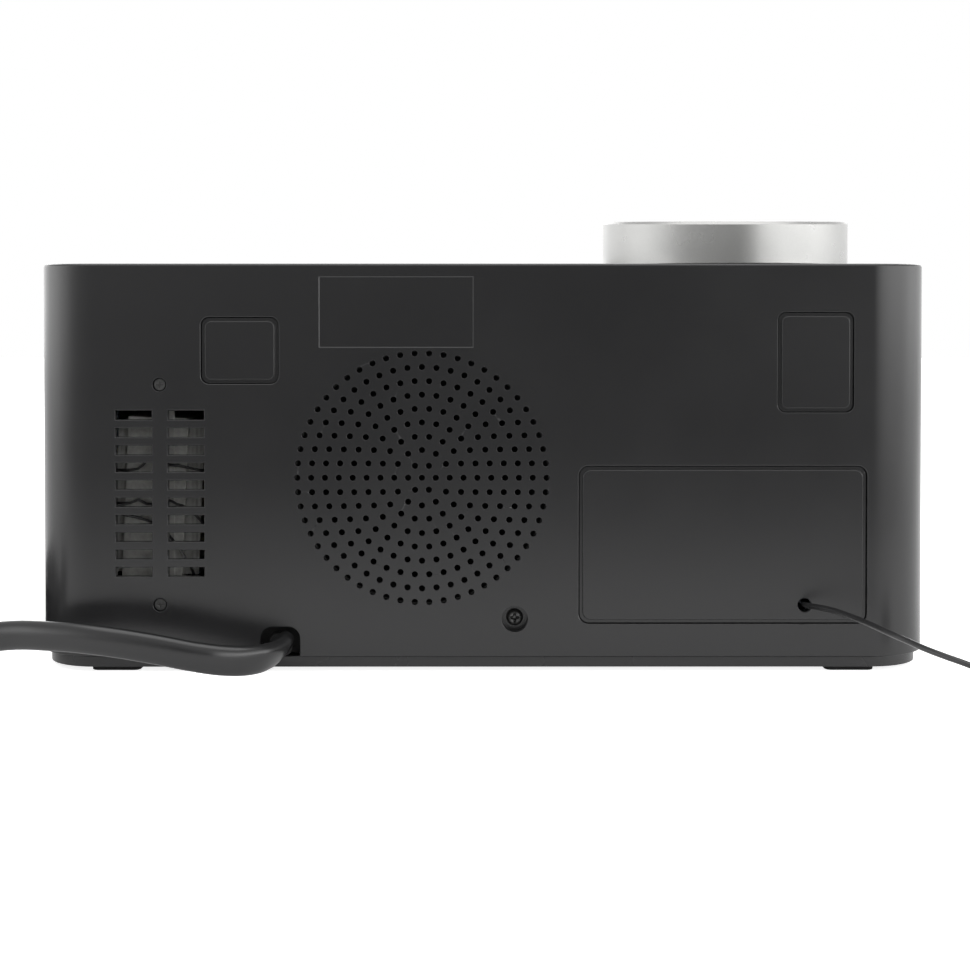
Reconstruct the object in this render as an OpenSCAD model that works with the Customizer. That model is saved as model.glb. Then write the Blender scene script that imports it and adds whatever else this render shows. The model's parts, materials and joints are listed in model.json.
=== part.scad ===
// Projection alarm clock radio.
// X runs to the right of someone reading the display, Y towards the rear wall,
// Z upwards from the surface that the rubber feet stand on. Millimetres.

/* [Cabinet] */
// Width of the cabinet, left to right
cabinet_w = 206; // [204:1:208]
// Depth of the cabinet, front to rear
cabinet_d = 80; // [79:1:81]
// Height of the cabinet's top above the table
cabinet_top = 93.5; // [93:0.5:94.5]
// Radius of the four upright corners
corner_r = 14; // [12:1:15]
// Thickness of the moulded walls
wall = 2.2; // [2:0.1:2.4]

/* [Base] */
// Height of the rubber feet below the base
foot_h = 1.1; // [0.8:0.1:1.5]
// Width of each rubber foot
foot_w = 11.2; // [10:0.1:12]
// Depth of each rubber foot, front to back
foot_l = 9; // [7:0.1:10]
// Height of the base's visible edge
base_h = 2.7; // [2.5:0.1:3]
// How far the base stands in from the cabinet
base_inset = 1.5; // [1:0.1:2]

/* [Rear wall] */
// Rings of speaker holes around the middle hole
grille_rings = 9; // [7:1:9]
// Spacing of the rings of speaker holes
grille_pitch = 3.16; // [3:0.02:3.2]
// Diameter of each speaker hole
grille_hole_d = 1.4; // [1:0.1:1.6]
// Number of cooling slots in each column
vent_rows = 10; // [6:1:10]
// Upright spacing of the cooling slots
vent_pitch = 3.98; // [3.8:0.02:4]
// Height of each cooling slot
vent_h = 2.1; // [1.6:0.1:2.4]
// Gap around the blanking plates
groove = 0.9; // [0.6:0.1:1]

/* [Display] */
// Width of the display window
window_w = 172; // [168:1:174]
// Height of the display window
window_h = 64; // [60:1:66]
// Height of one digit
digit_h = 34; // [28:1:36]
// Width of one digit
digit_w = 19; // [16:1:20]
// Width of a digit's stroke
stroke = 3.6; // [3:0.1:4]

/* [Projector] */
// Radius of the swivelling turret
turret_r = 30.3; // [30:0.1:30.8]
// Height of the middle of the turret's sloping top above the cabinet
turret_h = 11.6; // [11.4:0.1:11.8]
// Angle at which the turret's top slopes down towards the rear
turret_slope = 2.85; // [2.4:0.05:3]
// Radius of the tilting projector pod
pod_r = 18; // [17.8:0.1:18.1]
// Width of the pod between the turret's cheeks
pod_w = 21.2; // [21:0.1:21.4]

/* [Controls] */
// Length of the snooze bar
snooze_w = 84; // [76:1:88]
// Width of the snooze bar, front to rear
snooze_d = 15; // [13:0.5:15]
// Length of each key
key_w = 16; // [14:0.5:17]
// Width of each key, front to rear
key_d = 8.4; // [7:0.2:9]
// Gap between a key and the edge of its hole
key_gap = 0.2; // [0.15:0.05:0.3]

/* [Cords] */
// Width of the flat mains cord
mains_w = 6.6; // [6.2:0.1:6.8]
// Thickness of the flat mains cord
mains_t = 3.8; // [3.4:0.1:4]
// Diameter of the aerial wire
aerial_d = 1.3; // [1.2:0.1:1.4]

/* [Hidden] */

cabinet_grey = [0.2, 0.2, 0.2];
base_grey = [0.17, 0.17, 0.17];
rubber_black = [0.05, 0.05, 0.05];
cord_black = [0.07, 0.07, 0.07];
board_green = [0.1, 0.3, 0.16];
steel_grey = [0.62, 0.63, 0.64];
turret_silver = [0.72, 0.73, 0.74];
pod_black = [0.08, 0.08, 0.09];
key_black = [0.12, 0.12, 0.12];

// Cabinet levels
half_w = cabinet_w / 2;
half_d = cabinet_d / 2;
base_bottom = foot_h;
base_top = foot_h + base_h;
seam_gap = 0.2;
inner_face = half_d - wall;
split_y = -22;
split_gap = 0.3;
panel_t = 2.5;
panel_bottom = cabinet_top - panel_t;
panel_gap = 0.15;
ledge_w = 1.6;
ledge_t = 1.6;
front_inner = -inner_face;
step = 1;

// Rear wall features, as [x, z] and sizes
label_at = [19.75, 82.45];
label_size = [35.2, 16.2];
label_depth = 0.14;
left_blank_at = [55.4, 73.7];
left_blank_size = [17.7, 15.2];
right_blank_at = [-75.9, 71];
right_blank_size = [17.4, 22.9];
aerial_panel_at = [-54.8, 29.3];
aerial_panel_size = [65.8, 36.1];
blank_corner_r = 1.9;
aerial_corner_r = 2.3;
flange_w = 1.5;
flange_t = 1.2;
groove_deep = 0.6;
blank_fit = 0.05;
aerial_hole_at = [-73.5, 15.5];
aerial_hole_d = 3;
grille_at = [13.9, 44.65];
vent_x = [79.6, 67.7];
vent_w = 8.25;
vent_top_z = 58.95;
cabinet_screw_at = [-7.3, 12.3];
screw_well_d = 5.9;
screw_well_deep = 3.4;
screw_boss_d = 9;
cabinet_boss_y = 29.8;
small_screw_at = [[73.7, 65.9], [73.7, 15.6]];
small_well_d = 3.15;
small_well_deep = 1.2;
arch_x = 46.3;
arch_w = 8.9;
arch_top = 10.5;
arch_r = 2.6;

// How the cabinet halves, base and feet meet
lap = 3;
base_screw_x = 95;
base_screw_y = [-28, 18];
base_screw_sunk = 1.3;
base_boss_top = 14;
foot_x = 84.5;
foot_y = 32.3;
foot_r = 1.6;
foot_step = 1;
foot_plug = 0.9;

// Speaker and transformer
speaker_r = 33;
speaker_clip_r = 35.6;
speaker_clip_angles = [90, 216, 324];
clip_boss = 1;
clip_t = 0.8;
magnet_top = 18;
core_x = [65.1, 85.1];
core_y = [4.4, 33.4];
core_z = [22, 57];
core_mid_z = (core_z[0] + core_z[1]) / 2;
leg_w = 9.6;
window_gap = 6.6;
coil_w = 25;
strap_x = [68.7, 82.7];
strap_t = 1.2;
strap_y = [core_y[1], core_y[1] + strap_t];
transformer_lean = 2.5;
lead_d = 0.6;
lead_sides = 8;

// Turret and projector
turret_x = -60.4;
turret_gap = 0.3;
turret_bottom = cabinet_top + turret_gap;
turret_top = cabinet_top + turret_h;
turret_wall = 2;
turret_edge = 0.6;
neck_r = 24;
neck_wall = 2;
neck_bottom = 66;
running = 0.05;
body_r = turret_r - turret_wall - 0.2;
channel_half = 11.5;
channel_rear = 11.8;
channel_floor = cabinet_top + 1;
pod_z = turret_top - 18.1;
trough_r = pod_r + 0.4;
trough_half = pod_w / 2 + 0.8;
trunnion_r = 2.5;
trunnion_reach = 15.5;
lens_bore_r = 7;
ring_pocket_r = 9.2;
ring_r = 9.1;
ring_low = 11.1;
ring_high = 15.5;
cell_r = lens_bore_r - running;

// Keys and boards
key_column_x = [0, 22, 44, 66];
key_row_y = [19, 3];
key_top = cabinet_top + 0.5;
key_flange_top = panel_bottom - 0.1;
key_flange_t = 0.9;
key_flange_w = 1.2;
key_stem_low = 85.8;
snooze_at = [33, -21];
snooze_top = cabinet_top + 1.5;
snooze_stem_x = [-28, 28];
key_board_top = 80.6;
board_t = 1.6;
switch_body = 6;
key_post_at = [[-20, -33], [-20, 30], [88, -33], [88, 30]];
main_board_z = 20;
main_post_at = [[-88, -20], [-88, 4], [50, -20], [50, 4]];

// Display
display_z = 50;
display_post_at = [[-93, 26], [93, 26], [-93, 74], [93, 74]];
digit_x = [-48, -21, 21, 48];
digit_face = front_inner + 1.4;
digit_back = -27;

// Battery bay in the base
bay_x = 14;
bay_y = -20;
bay_w = 52;
bay_d = 24;
bay_top = 15.5;
bay_wall = 1.4;
door_w = 56;
door_rear = -6.5;
door_t = 1.6;
door_gap = 0.1;

// Strain relief, mains cord and aerial wire
nose_z = 6.25;
nose_size = [5.2, 5.2];
mains_coil_at = [165, 1];
mains_coil_r = 35;
coil_lift = 0.6;
aerial_coil_at = [-127, 82];
aerial_coil_r = 7.8;
plug_at = [168, 64];
plug_z = 7.6;
plug_l = 32;
blade_l = 17;
blade_t = 1.5;
blade_w = 6.4;
blade_pitch = 12.7;
mains_route = [
    [46.3, 38.7, 6.2], [46.4, 44, 6], [47.6, 49, 5.7], [51, 54, 5.7], [56, 57, 6.2],
    [62, 58.5, 7.2], [72, 59, 9.2], [83, 57.5, 10.6], [95, 53.5, 10.9], [107, 48, 10],
    [118, 44.2, 7.6], [128, 41.8, 5.2], [138, 40.4, 4.1], [146.5, 40, 3.9]];
tail_route = [
    [131, 20, 10.5], [136, 31, 10.8], [141, 40, 11], [147, 49.5, 10.2], [154, 57.5, 8.6],
    [161.5, 62.5, 7.8], [168, 64, plug_z]];
aerial_route = [
    [-73.5, 35, 15.5], [-73.5, 39, 15.6], [-73.9, 43, 15.9], [-75.4, 47, 16.2], [-77.6, 51, 16.2],
    [-80.8, 57, 15.7], [-83.7, 63, 15], [-86.3, 68, 14.2], [-89, 72.5, 13.4],
    [-91.6, 77, 12.6], [-94.4, 81, 11.9], [-98.6, 85.2, 10.8], [-103.5, 88, 9],
    [-108.5, 89.6, 6.4], [-113.5, 90.2, 3.8], [-118.5, 90.2, 1.8], [-123, 90, 0.8]];

// ---- Shapes used by several sub-parts ----

module rounded_rect(size, r) {
    square([size[0] - 2 * r, size[1]], center = true);
    square([size[0], size[1] - 2 * r], center = true);
    for (sx = [-1, 1], sy = [-1, 1])
        translate([sx * (size[0] / 2 - r), sy * (size[1] / 2 - r)]) circle(r, $fn = 64);
}

// Upright slab of the cabinet's outline, made smaller all round by inset
module slab(inset, z0, z1) {
    translate([0, 0, z0]) linear_extrude(z1 - z0)
        rounded_rect([cabinet_w - 2 * inset, cabinet_d - 2 * inset], corner_r - inset);
}

module slab_ring(outer_inset, inner_inset, z0, z1) {
    difference() {
        slab(outer_inset, z0, z1);
        slab(inner_inset, z0 - step, z1 + step);
    }
}

module block(x, y, z) {
    translate([x[0], y[0], z[0]]) cube([x[1] - x[0], y[1] - y[0], z[1] - z[0]]);
}

// Extrudes a drawing in X and Z from y0 to y1
module along_y(y0, y1) {
    translate([0, y1, 0]) rotate([90, 0, 0]) linear_extrude(y1 - y0) children();
}

module pin_y(at, d, y0, y1) {
    along_y(y0, y1) translate(at) circle(d = d, $fn = 48);
}

module pin_z(at, d, z0, z1) {
    translate([at[0], at[1], z0]) cylinder(d = d, h = z1 - z0, $fn = 48);
}

module plate_y(at, size, r, y0, y1) {
    along_y(y0, y1) translate(at) rounded_rect(size, r);
}

// Keeps the part of its children in front of or behind a plane across Y
module in_front_of(y) {
    intersection() {
        children();
        block([-half_w - step, half_w + step], [-half_d - step, y], [0, 2 * cabinet_top]);
    }
}

module behind(y) {
    intersection() {
        children();
        block([-half_w - step, half_w + step], [y, half_d + step], [0, 2 * cabinet_top]);
    }
}

// Pan-head screw along +Z with its head on top, at the origin
module screw(shank_d, length, head_d, head_h) {
    difference() {
        union() {
            translate([0, 0, -length]) cylinder(d = shank_d, h = length, $fn = 32);
            cylinder(d = head_d, h = head_h, $fn = 48);
        }
        for (a = [0, 90]) rotate(a) translate([-head_d * 0.32, -head_d * 0.07, head_h * 0.4])
            cube([head_d * 0.64, head_d * 0.14, head_h]);
    }
}

// ---- Cabinet ----

module cabinet_shell() {
    slab_ring(0, wall, base_top, cabinet_top);
    slab_ring(wall - seam_gap, wall + ledge_w, panel_bottom - ledge_t, panel_bottom);
}

function clip_at(a) = grille_at + speaker_clip_r * [cos(a), sin(a)];

module vents() {
    for (x = vent_x, i = [0 : vent_rows - 1])
        translate([x, vent_top_z - i * vent_pitch]) square([vent_w, vent_h], center = true);
}

module grille() {
    translate(grille_at) {
        circle(d = grille_hole_d, $fn = 16);
        for (ring = [1 : grille_rings], i = [0 : 6 * ring - 1])
            rotate(i * 60 / ring) translate([ring * grille_pitch, 0])
                circle(d = grille_hole_d, $fn = 16);
    }
}

module cable_arch() {
    arch_low = base_top - step;
    translate([arch_x, (arch_low + arch_top) / 2])
        rounded_rect([arch_w, arch_top - arch_low], arch_r);
    translate([arch_x, arch_low + arch_r / 2]) square([arch_w, arch_r], center = true);
}

// Sunk field for a label, with sides that slope in to its floor
module label_recess() hull() {
    half = label_size / 2;
    for (inset = [0, label_depth])
        block([label_at[0] - half[0] + inset, label_at[0] + half[0] - inset],
              [half_d - inset, half_d + step],
              [label_at[1] - half[1] + inset, label_at[1] + half[1] - inset]);
}

// Bosses on both side walls that the base screws go up into
module base_bosses(y) {
    for (m = [0, 1]) mirror([m, 0, 0])
        block([base_screw_x - 3, half_w - wall + 0.2], [y - 3, y + 3], [base_top, base_boss_top]);
}

module base_screw_holes(d, z0, z1) {
    for (sx = [-1, 1], y = base_screw_y) pin_z([sx * base_screw_x, y], d, z0, z1);
}

module rear_cabinet() color(cabinet_grey) difference() {
    union() {
        behind(split_y + split_gap / 2) cabinet_shell();
        base_bosses(base_screw_y[1]);
        pin_y(cabinet_screw_at, screw_boss_d, cabinet_boss_y, inner_face + step);
        for (at = small_screw_at) pin_y(at, 5, strap_y[1], inner_face + step);
        for (a = speaker_clip_angles)
            pin_y(clip_at(a), 4.4, inner_face - clip_boss, inner_face + step);
    }
    base_screw_holes(2.4, base_top - step, base_boss_top - 1);
    along_y(inner_face - step, half_d + step) grille();
    along_y(inner_face - step, half_d + step) vents();
    along_y(inner_face - step, half_d + step) cable_arch();
    label_recess();
    plate_y(left_blank_at, left_blank_size, blank_corner_r, inner_face - step, half_d + step);
    plate_y(right_blank_at, right_blank_size, blank_corner_r, inner_face - step, half_d + step);
    plate_y(aerial_panel_at, aerial_panel_size, aerial_corner_r, inner_face - step, half_d + step);
    pin_y(cabinet_screw_at, screw_well_d, half_d - screw_well_deep, half_d + step);
    pin_y(cabinet_screw_at, 2.8, cabinet_boss_y - step, half_d);
    for (at = small_screw_at) {
        pin_y(at, small_well_d, half_d - small_well_deep, half_d + step);
        pin_y(at, 1.9, strap_y[1] - step, half_d);
    }
    for (a = speaker_clip_angles) pin_y(clip_at(a), 1.7, inner_face - 2 * clip_boss, half_d - 0.8);
}

// Lip on the front cabinet that the rear cabinet slides over
module lap_lip(outer_inset) {
    slab_ring(outer_inset, wall + 1.3, base_top + 4, panel_bottom - ledge_t - 0.2);
}

module front_cabinet() color(cabinet_grey) difference() {
    union() {
        in_front_of(split_y - split_gap / 2) {
            cabinet_shell();
            behind(split_y - lap) lap_lip(wall - 0.2);
            intersection() {
                slab(0, base_top, cabinet_top);
                block([-half_w, half_w], [-half_d, front_inner], [base_top, cabinet_top]);
            }
        }
        in_front_of(split_y + lap) behind(split_y - lap) lap_lip(wall + 0.1);
        base_bosses(base_screw_y[0]);
        for (at = display_post_at) pin_y(at, 6, front_inner - 0.1, digit_back);
    }
    plate_y([0, display_z], [window_w, window_h], 5, -half_d - step, front_inner + step);
    for (at = display_post_at) pin_y(at, 1.8, digit_back - 6.5, digit_back + step);
    base_screw_holes(2.4, base_top - step, base_boss_top - 1);
}

module key_holes() {
    for (x = key_column_x, y = key_row_y)
        translate([x, y]) rounded_rect([key_w + 2 * key_gap, key_d + 2 * key_gap], 2 + key_gap);
    translate(snooze_at) rounded_rect([snooze_w + 2 * key_gap, snooze_d + 2 * key_gap], 4 + key_gap);
}

module top_panel() color(cabinet_grey) difference() {
    union() {
        slab(wall + panel_gap, panel_bottom, cabinet_top);
        for (at = key_post_at) pin_z(at, 5, key_board_top, panel_bottom + step / 2);
    }
    for (at = key_post_at) pin_z(at, 1.8, key_board_top - step, key_board_top + 5);
    translate([0, 0, panel_bottom - step]) linear_extrude(panel_t + 2 * step) key_holes();
    pin_z([turret_x, 0], 2 * (neck_r + running), panel_bottom - step, cabinet_top + step);
}

module base_plate() color(base_grey) difference() {
    union() {
        slab(base_inset, base_bottom, base_top - seam_gap);
        slab_ring(wall + 0.15, wall + 1.6, base_top - seam_gap - step / 2, base_top + 2.6);
        block([bay_x - bay_w / 2 - bay_wall, bay_x + bay_w / 2 + bay_wall],
              [bay_y - bay_d / 2 - bay_wall, bay_y + bay_d / 2 + bay_wall],
              [base_bottom + 0.5, bay_top + bay_wall]);
        block([cabinet_screw_at[0] - 4, cabinet_screw_at[0] + 4], [20, cabinet_boss_y - 0.2],
              [base_bottom + 0.5, cabinet_screw_at[1] + 4]);
        for (at = main_post_at) pin_z(at, 5, base_bottom + 1, main_board_z);
    }
    block([bay_x - bay_w / 2, bay_x + bay_w / 2], [bay_y - bay_d / 2, bay_y + bay_d / 2],
          [0, bay_top]);
    block([bay_x - door_w / 2 - door_gap, bay_x + door_w / 2 + door_gap],
          [-half_d, door_rear + door_gap], [0, base_bottom + door_t + door_gap]);
    block([arch_x - arch_w / 2, arch_x + arch_w / 2], [half_d - 2 * wall - step, half_d],
          [base_top - seam_gap, base_top + 3]);
    for (m = [0, 1], y = base_screw_y) mirror([m, 0, 0])
        block([base_screw_x - 3.3, half_w], [y - 3.3, y + 3.3], [base_top - seam_gap, base_top + 3]);
    foot_blocks(foot_step, base_bottom + foot_plug);
    base_screw_holes(5.4, 0, base_bottom + base_screw_sunk);
    base_screw_holes(3.2, 0, base_top + step);
    pin_y(cabinet_screw_at, 2.5, 20 - step, cabinet_boss_y);
    for (at = main_post_at) pin_z(at, 1.8, main_board_z - 8, main_board_z + step);
}

// The four feet's outlines, made smaller all round by inset, from the table up to top
module foot_blocks(inset, top) {
    for (sx = [-1, 1], sy = [-1, 1]) translate([sx * foot_x, sy * foot_y, 0]) linear_extrude(top)
        rounded_rect([foot_w - 2 * inset, foot_l - 2 * inset], foot_r - inset);
}

module rubber_feet() color(rubber_black) {
    foot_blocks(0, foot_h);
    foot_blocks(foot_step, foot_h + foot_plug);
}

// A plate that fills an opening in the rear wall, with a groove round its face and a flange behind
module blanking_plate(at, size, r) {
    plate_y(at, size - 2 * [groove, groove], r - groove / 2, inner_face, half_d);
    plate_y(at, size - 2 * [blank_fit, blank_fit], r - blank_fit, inner_face, half_d - groove_deep);
    plate_y(at, size + 2 * [flange_w, flange_w], r, inner_face - flange_t, inner_face);
}

module left_blanking_plate() color(cabinet_grey)
    blanking_plate(left_blank_at, left_blank_size, blank_corner_r);

module right_blanking_plate() color(cabinet_grey)
    blanking_plate(right_blank_at, right_blank_size, blank_corner_r);

module aerial_panel() color(cabinet_grey) difference() {
    blanking_plate(aerial_panel_at, aerial_panel_size, aerial_corner_r);
    pin_y(aerial_hole_at, aerial_hole_d, inner_face - 2 * flange_t, half_d + step);
}

// Turns a shape made upright about Z so that its top faces the rear wall
module facing_rear(at, y) {
    translate([at[0], y, at[1]]) rotate([-90, 0, 0]) children();
}

module cabinet_screw() color(steel_grey)
    facing_rear(cabinet_screw_at, half_d - screw_well_deep) screw(2.4, 12, 3.9, 1.4);

module base_screws() color(steel_grey)
    for (sx = [-1, 1], y = base_screw_y)
        translate([sx * base_screw_x, y, base_bottom + base_screw_sunk])
            mirror([0, 0, 1]) screw(2.3, 9, 5, 1.2);

module transformer_screws() color(steel_grey)
    for (at = small_screw_at)
        facing_rear(at, half_d - small_well_deep) screw(1.7, 6.6, 2.6, 0.7);

// ---- Display ----

module display_window() color([0.05, 0.05, 0.06, 0.8]) {
    plate_y([0, display_z], [window_w - 0.3, window_h - 0.3], 4.8, -half_d, front_inner);
    plate_y([0, display_z], [window_w + 4, window_h + 4], 5, front_inner, front_inner + 1);
}

module digit_module() color(pod_black)
    plate_y([0, display_z + 2], [128, 46], 2, digit_face, digit_back);

// Strokes that make each figure: top, upper right, lower right, bottom, lower left, upper left, middle
figures = [[1, 1, 1, 1, 1, 1, 0], [0, 1, 1, 0, 0, 0, 0], [1, 1, 1, 1, 1, 1, 1]];
shown = [1, 0, 0, 2];

module stroke_bar(length) {
    reach = length / 2 - stroke / 2 - 0.3;
    polygon([[-reach - stroke / 2, 0], [-reach, stroke / 2], [reach, stroke / 2],
             [reach + stroke / 2, 0], [reach, -stroke / 2], [-reach, -stroke / 2]]);
}

module stroke_at(i) {
    across = digit_w - stroke;
    tall = (digit_h - stroke) / 2;
    place = [[0, tall], [across / 2, tall / 2], [across / 2, -tall / 2], [0, -tall],
             [-across / 2, -tall / 2], [-across / 2, tall / 2], [0, 0]];
    upright = i != 0 && i != 3 && i != 6;
    translate(place[i]) rotate(upright ? 90 : 0) stroke_bar(upright ? tall : across);
}

module segments(lit) {
    along_y(digit_face - 0.4, digit_face) translate([0, display_z + 2]) {
        for (d = [0 : 3], i = [0 : 6])
            if (figures[shown[d]][i] == lit) translate([digit_x[d], 0]) stroke_at(i);
        if (lit == 1) {
            for (sz = [-1, 1]) translate([0, sz * 7]) circle(d = 3.6, $fn = 32);
            translate([-61, 14]) circle(d = 2.4, $fn = 32);
        } else {
            translate([-61, -14]) circle(d = 2.4, $fn = 32);
            for (sz = [-1, 1]) translate([61, sz * 14]) circle(d = 2.4, $fn = 32);
        }
    }
}

module lit_segments() color([0.75, 0.9, 1]) segments(1);

module unlit_segments() color([0.2, 0.22, 0.24]) segments(0);

module display_board() color(board_green) difference() {
    plate_y([0, display_z], [193, 56], 1, digit_back, digit_back + board_t);
    for (at = display_post_at) pin_y(at, 2.2, digit_back - step, digit_back + 2 * board_t);
}

// ---- Boards ----

module main_board() color(board_green) difference() {
    block([-92, 54], [-24, 8], [main_board_z, main_board_z + board_t]);
    for (at = main_post_at) pin_z(at, 2.2, main_board_z - step, main_board_z + 2 * board_t);
}

module board_screw() screw(1.7, 6, 3.8, 1.3);

module board_screws() color(steel_grey) {
    for (at = main_post_at) translate([at[0], at[1], main_board_z + board_t]) board_screw();
    for (at = key_post_at) translate([at[0], at[1], key_board_top - board_t])
        mirror([0, 0, 1]) board_screw();
    for (at = display_post_at) facing_rear(at, digit_back + board_t) board_screw();
}

module radio_can() color(steel_grey)
    translate([-66, -10, main_board_z + board_t]) linear_extrude(6) rounded_rect([22, 16], 0.6);

module board_chips() color(pod_black) {
    deck = main_board_z + board_t;
    block([-32, -14], [-20, -2], [deck, deck + 1.6]);
    block([2, 12], [-18, -12], [deck, deck + 1.7]);
    block([30, 38], [-8, 2], [deck, deck + 2.2]);
}

module board_capacitors() color([0.1, 0.14, 0.3]) {
    deck = main_board_z + board_t;
    for (c = [[-44, -18, 8, 12], [-4, 0, 6.3, 11], [18, -2, 10, 16], [40, -18, 8, 12]])
        pin_z([c[0], c[1]], c[2], deck, deck + c[3]);
}

// ---- Mains transformer ----

// The whole transformer stands a little askew on its bracket
module leaning() {
    middle = [(strap_x[0] + strap_x[1]) / 2, 0, core_mid_z];
    translate(middle) rotate([0, -transformer_lean, 0]) translate(-middle) children();
}

// Stack of plates with two windows, and the coil around the leg between them
module transformer_core() color(steel_grey) leaning() difference() {
    block(core_x, core_y, core_z);
    for (sz = [-1, 1]) translate([0, 0, sz * (leg_w + window_gap) / 2])
        block([core_x[0] - step, core_x[1] + step], [core_y[0] + leg_w / 2, core_y[1] - leg_w / 2],
              [core_mid_z - window_gap / 2, core_mid_z + window_gap / 2]);
}

module transformer_coil() color([0.75, 0.72, 0.6]) leaning()
    along_y(core_y[0] + leg_w / 2 + 0.3, core_y[1] - leg_w / 2 - 0.3)
        translate([(core_x[0] + core_x[1]) / 2, core_mid_z]) difference() {
            rounded_rect([coil_w, leg_w + 2 * window_gap - 0.4], 3);
            square([core_x[1] - core_x[0] + 0.2, leg_w + 0.2], center = true);
        }

module transformer_bracket() color(steel_grey) difference() {
    union() {
        leaning() {
            block(strap_x, strap_y, [core_z[0] - strap_t, core_z[1] + strap_t]);
            for (z = [core_z[0] - strap_t, core_z[1]])
                block(strap_x, [core_y[0], strap_y[1]], [z, z + strap_t]);
        }
        block([71.2, 76.2], strap_y, [12, 69]);
    }
    for (at = small_screw_at) pin_y(at, 2, strap_y[0] - step, strap_y[1] + step);
}

// ---- Tubes swept along a route ----

function unit(v) = v / norm(v);
function flat_bits(list) = [for (part = list) for (item = part) item];

// Point at share t between p1 and p2 on a Catmull-Rom curve
function curve_at(p0, p1, p2, p3, t) =
    0.5 * ((2 * p1) + (p2 - p0) * t + (2 * p0 - 5 * p1 + 4 * p2 - p3) * t * t
        + (3 * p1 - p0 - 3 * p2 + p3) * t * t * t);

function smooth_route(pts, parts) = let (last = len(pts) - 1) concat(
    [for (i = [0 : last - 1], k = [0 : parts - 1])
        curve_at(pts[max(i - 1, 0)], pts[i], pts[i + 1], pts[min(i + 2, last)], k / parts)],
    [pts[last]]);

// Rings of a tube that is across wide and tall high, around the points of a path
function ring_points(path, across, tall, sides) = flat_bits(
    [for (i = [0 : len(path) - 1]) let (
        ahead = unit(path[min(i + 1, len(path) - 1)] - path[max(i - 1, 0)]),
        side = unit(cross(ahead, [0, 0, 1])),
        rise = cross(side, ahead))
        [for (k = [0 : sides - 1]) let (a = 360 * (k + 0.5) / sides)
            path[i] + side * across / 2 * cos(a) + rise * tall / 2 * sin(a)]]);

module tube(path, across, tall, sides) {
    rings = len(path);
    walls = [for (i = [0 : rings - 2], k = [0 : sides - 1]) let (n = (k + 1) % sides)
        [i * sides + k, (i + 1) * sides + k, (i + 1) * sides + n, i * sides + n]];
    ends = [[for (k = [0 : sides - 1]) k],
            [for (k = [sides - 1 : -1 : 0]) (rings - 1) * sides + k]];
    polyhedron(ring_points(path, across, tall, sides), concat(walls, ends));
}

// One lead from the coil to the main board, and two from the strain relief to the coil
module transformer_leads() color(cord_black) {
    tube(smooth_route([
        [88, 20, 47], [88.6, 31, 47.5], [84.5, 35.6, 46.2], [79.4, 36.2, 46.4], [77.4, 36.2, 48.3],
        [75.6, 36.2, 49.6], [74, 36.2, 48.6], [72.4, 36.2, 47.3], [70.1, 36.2, 47.2],
        [66, 36, 46.2], [61, 33.6, 45], [57, 26, 40], [53, 14, 30], [51.5, 6, 22.4]], 2),
        lead_d, lead_d, lead_sides);
    tube(smooth_route([
        [46, 31.8, 8.6], [53, 30, 11], [58.5, 32, 20], [62.5, 35.4, 31], [67.5, 36.2, 37],
        [70.5, 36.2, 38.3], [72.6, 36.2, 39.3], [75, 36.2, 38.4], [77.4, 36.2, 38.3],
        [79.3, 36.2, 39.3], [81.2, 36.2, 38.5], [85, 35.6, 38.6], [88.8, 31, 40], [88.2, 20, 42]], 2),
        lead_d, lead_d, lead_sides);
    tube(smooth_route([
        [47.5, 31.8, 7.2], [53, 30.2, 7.6], [63, 32, 13], [67.5, 35.6, 24], [73, 36.2, 32],
        [77.6, 36.2, 34.6], [81.9, 36.2, 35.7], [85, 35.6, 36.4], [88.6, 31, 36], [88.2, 20, 37]], 2),
        lead_d, lead_d, lead_sides);
}

// ---- Speaker ----

module speaker_frame() color(steel_grey) facing_rear(grille_at, 0)
    rotate_extrude($fn = 96) polygon([
        [16.2, magnet_top], [19, magnet_top], [30.2, 36.8], [speaker_r, 36.8],
        [speaker_r, inner_face], [28.8, inner_face], [28.8, 36.9], [18.4, magnet_top + 1.2],
        [16.2, magnet_top + 1.2]]);

module speaker_magnet() color([0.25, 0.25, 0.26]) facing_rear(grille_at, 0) {
    translate([0, 0, magnet_top - 10]) cylinder(r = 17, h = 10, $fn = 96);
    translate([0, 0, magnet_top]) cylinder(r = 6, h = 5, $fn = 64);
}

module speaker_cone() color(rubber_black) facing_rear(grille_at, 0)
    rotate_extrude($fn = 96) polygon([
        [0, 30.4], [5, 29.6], [8.6, 27], [9.4, 27], [24.4, 34.6], [26, 36.4], [27.4, 36.9],
        [28.7, 36.9], [28.7, 37.5], [27.2, 37.5], [25.6, 37], [23.9, 35.2], [9, 27.7],
        [5.2, 30.2], [0, 31]]);

module speaker_clips() color(steel_grey)
    for (a = speaker_clip_angles)
        facing_rear(clip_at(a), inner_face - clip_boss) mirror([0, 0, 1]) {
            difference() {
                cylinder(d = 8.4, h = clip_t, $fn = 48);
                translate([0, 0, -step]) cylinder(d = 1.8, h = 3, $fn = 32);
            }
            translate([0, 0, clip_t]) screw(1.6, 3, 3.4, 1);
        }

// ---- Projector turret ----

module at_turret() {
    translate([turret_x, 0, 0]) children();
}

module channel_cut() {
    block([-channel_half, channel_half], [-turret_r - step, channel_rear],
          [channel_floor, turret_top + 2 * step]);
}

// Upright disc from z0 to the turret's sloping top, lowered by drop, with a chamfer round its rim
module sloping_disc(r, z0, drop, edge) {
    below = 15;
    beyond = 3;
    intersection() {
        translate([0, 0, z0]) cylinder(r = r, h = below, $fn = 128);
        translate([0, 0, turret_top - drop]) rotate([-turret_slope, 0, 0])
            rotate_extrude($fn = 128) polygon([
                [0, -below], [r + beyond, -below], [r + beyond, -edge - beyond], [r - edge, 0], [0, 0]]);
    }
}

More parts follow.
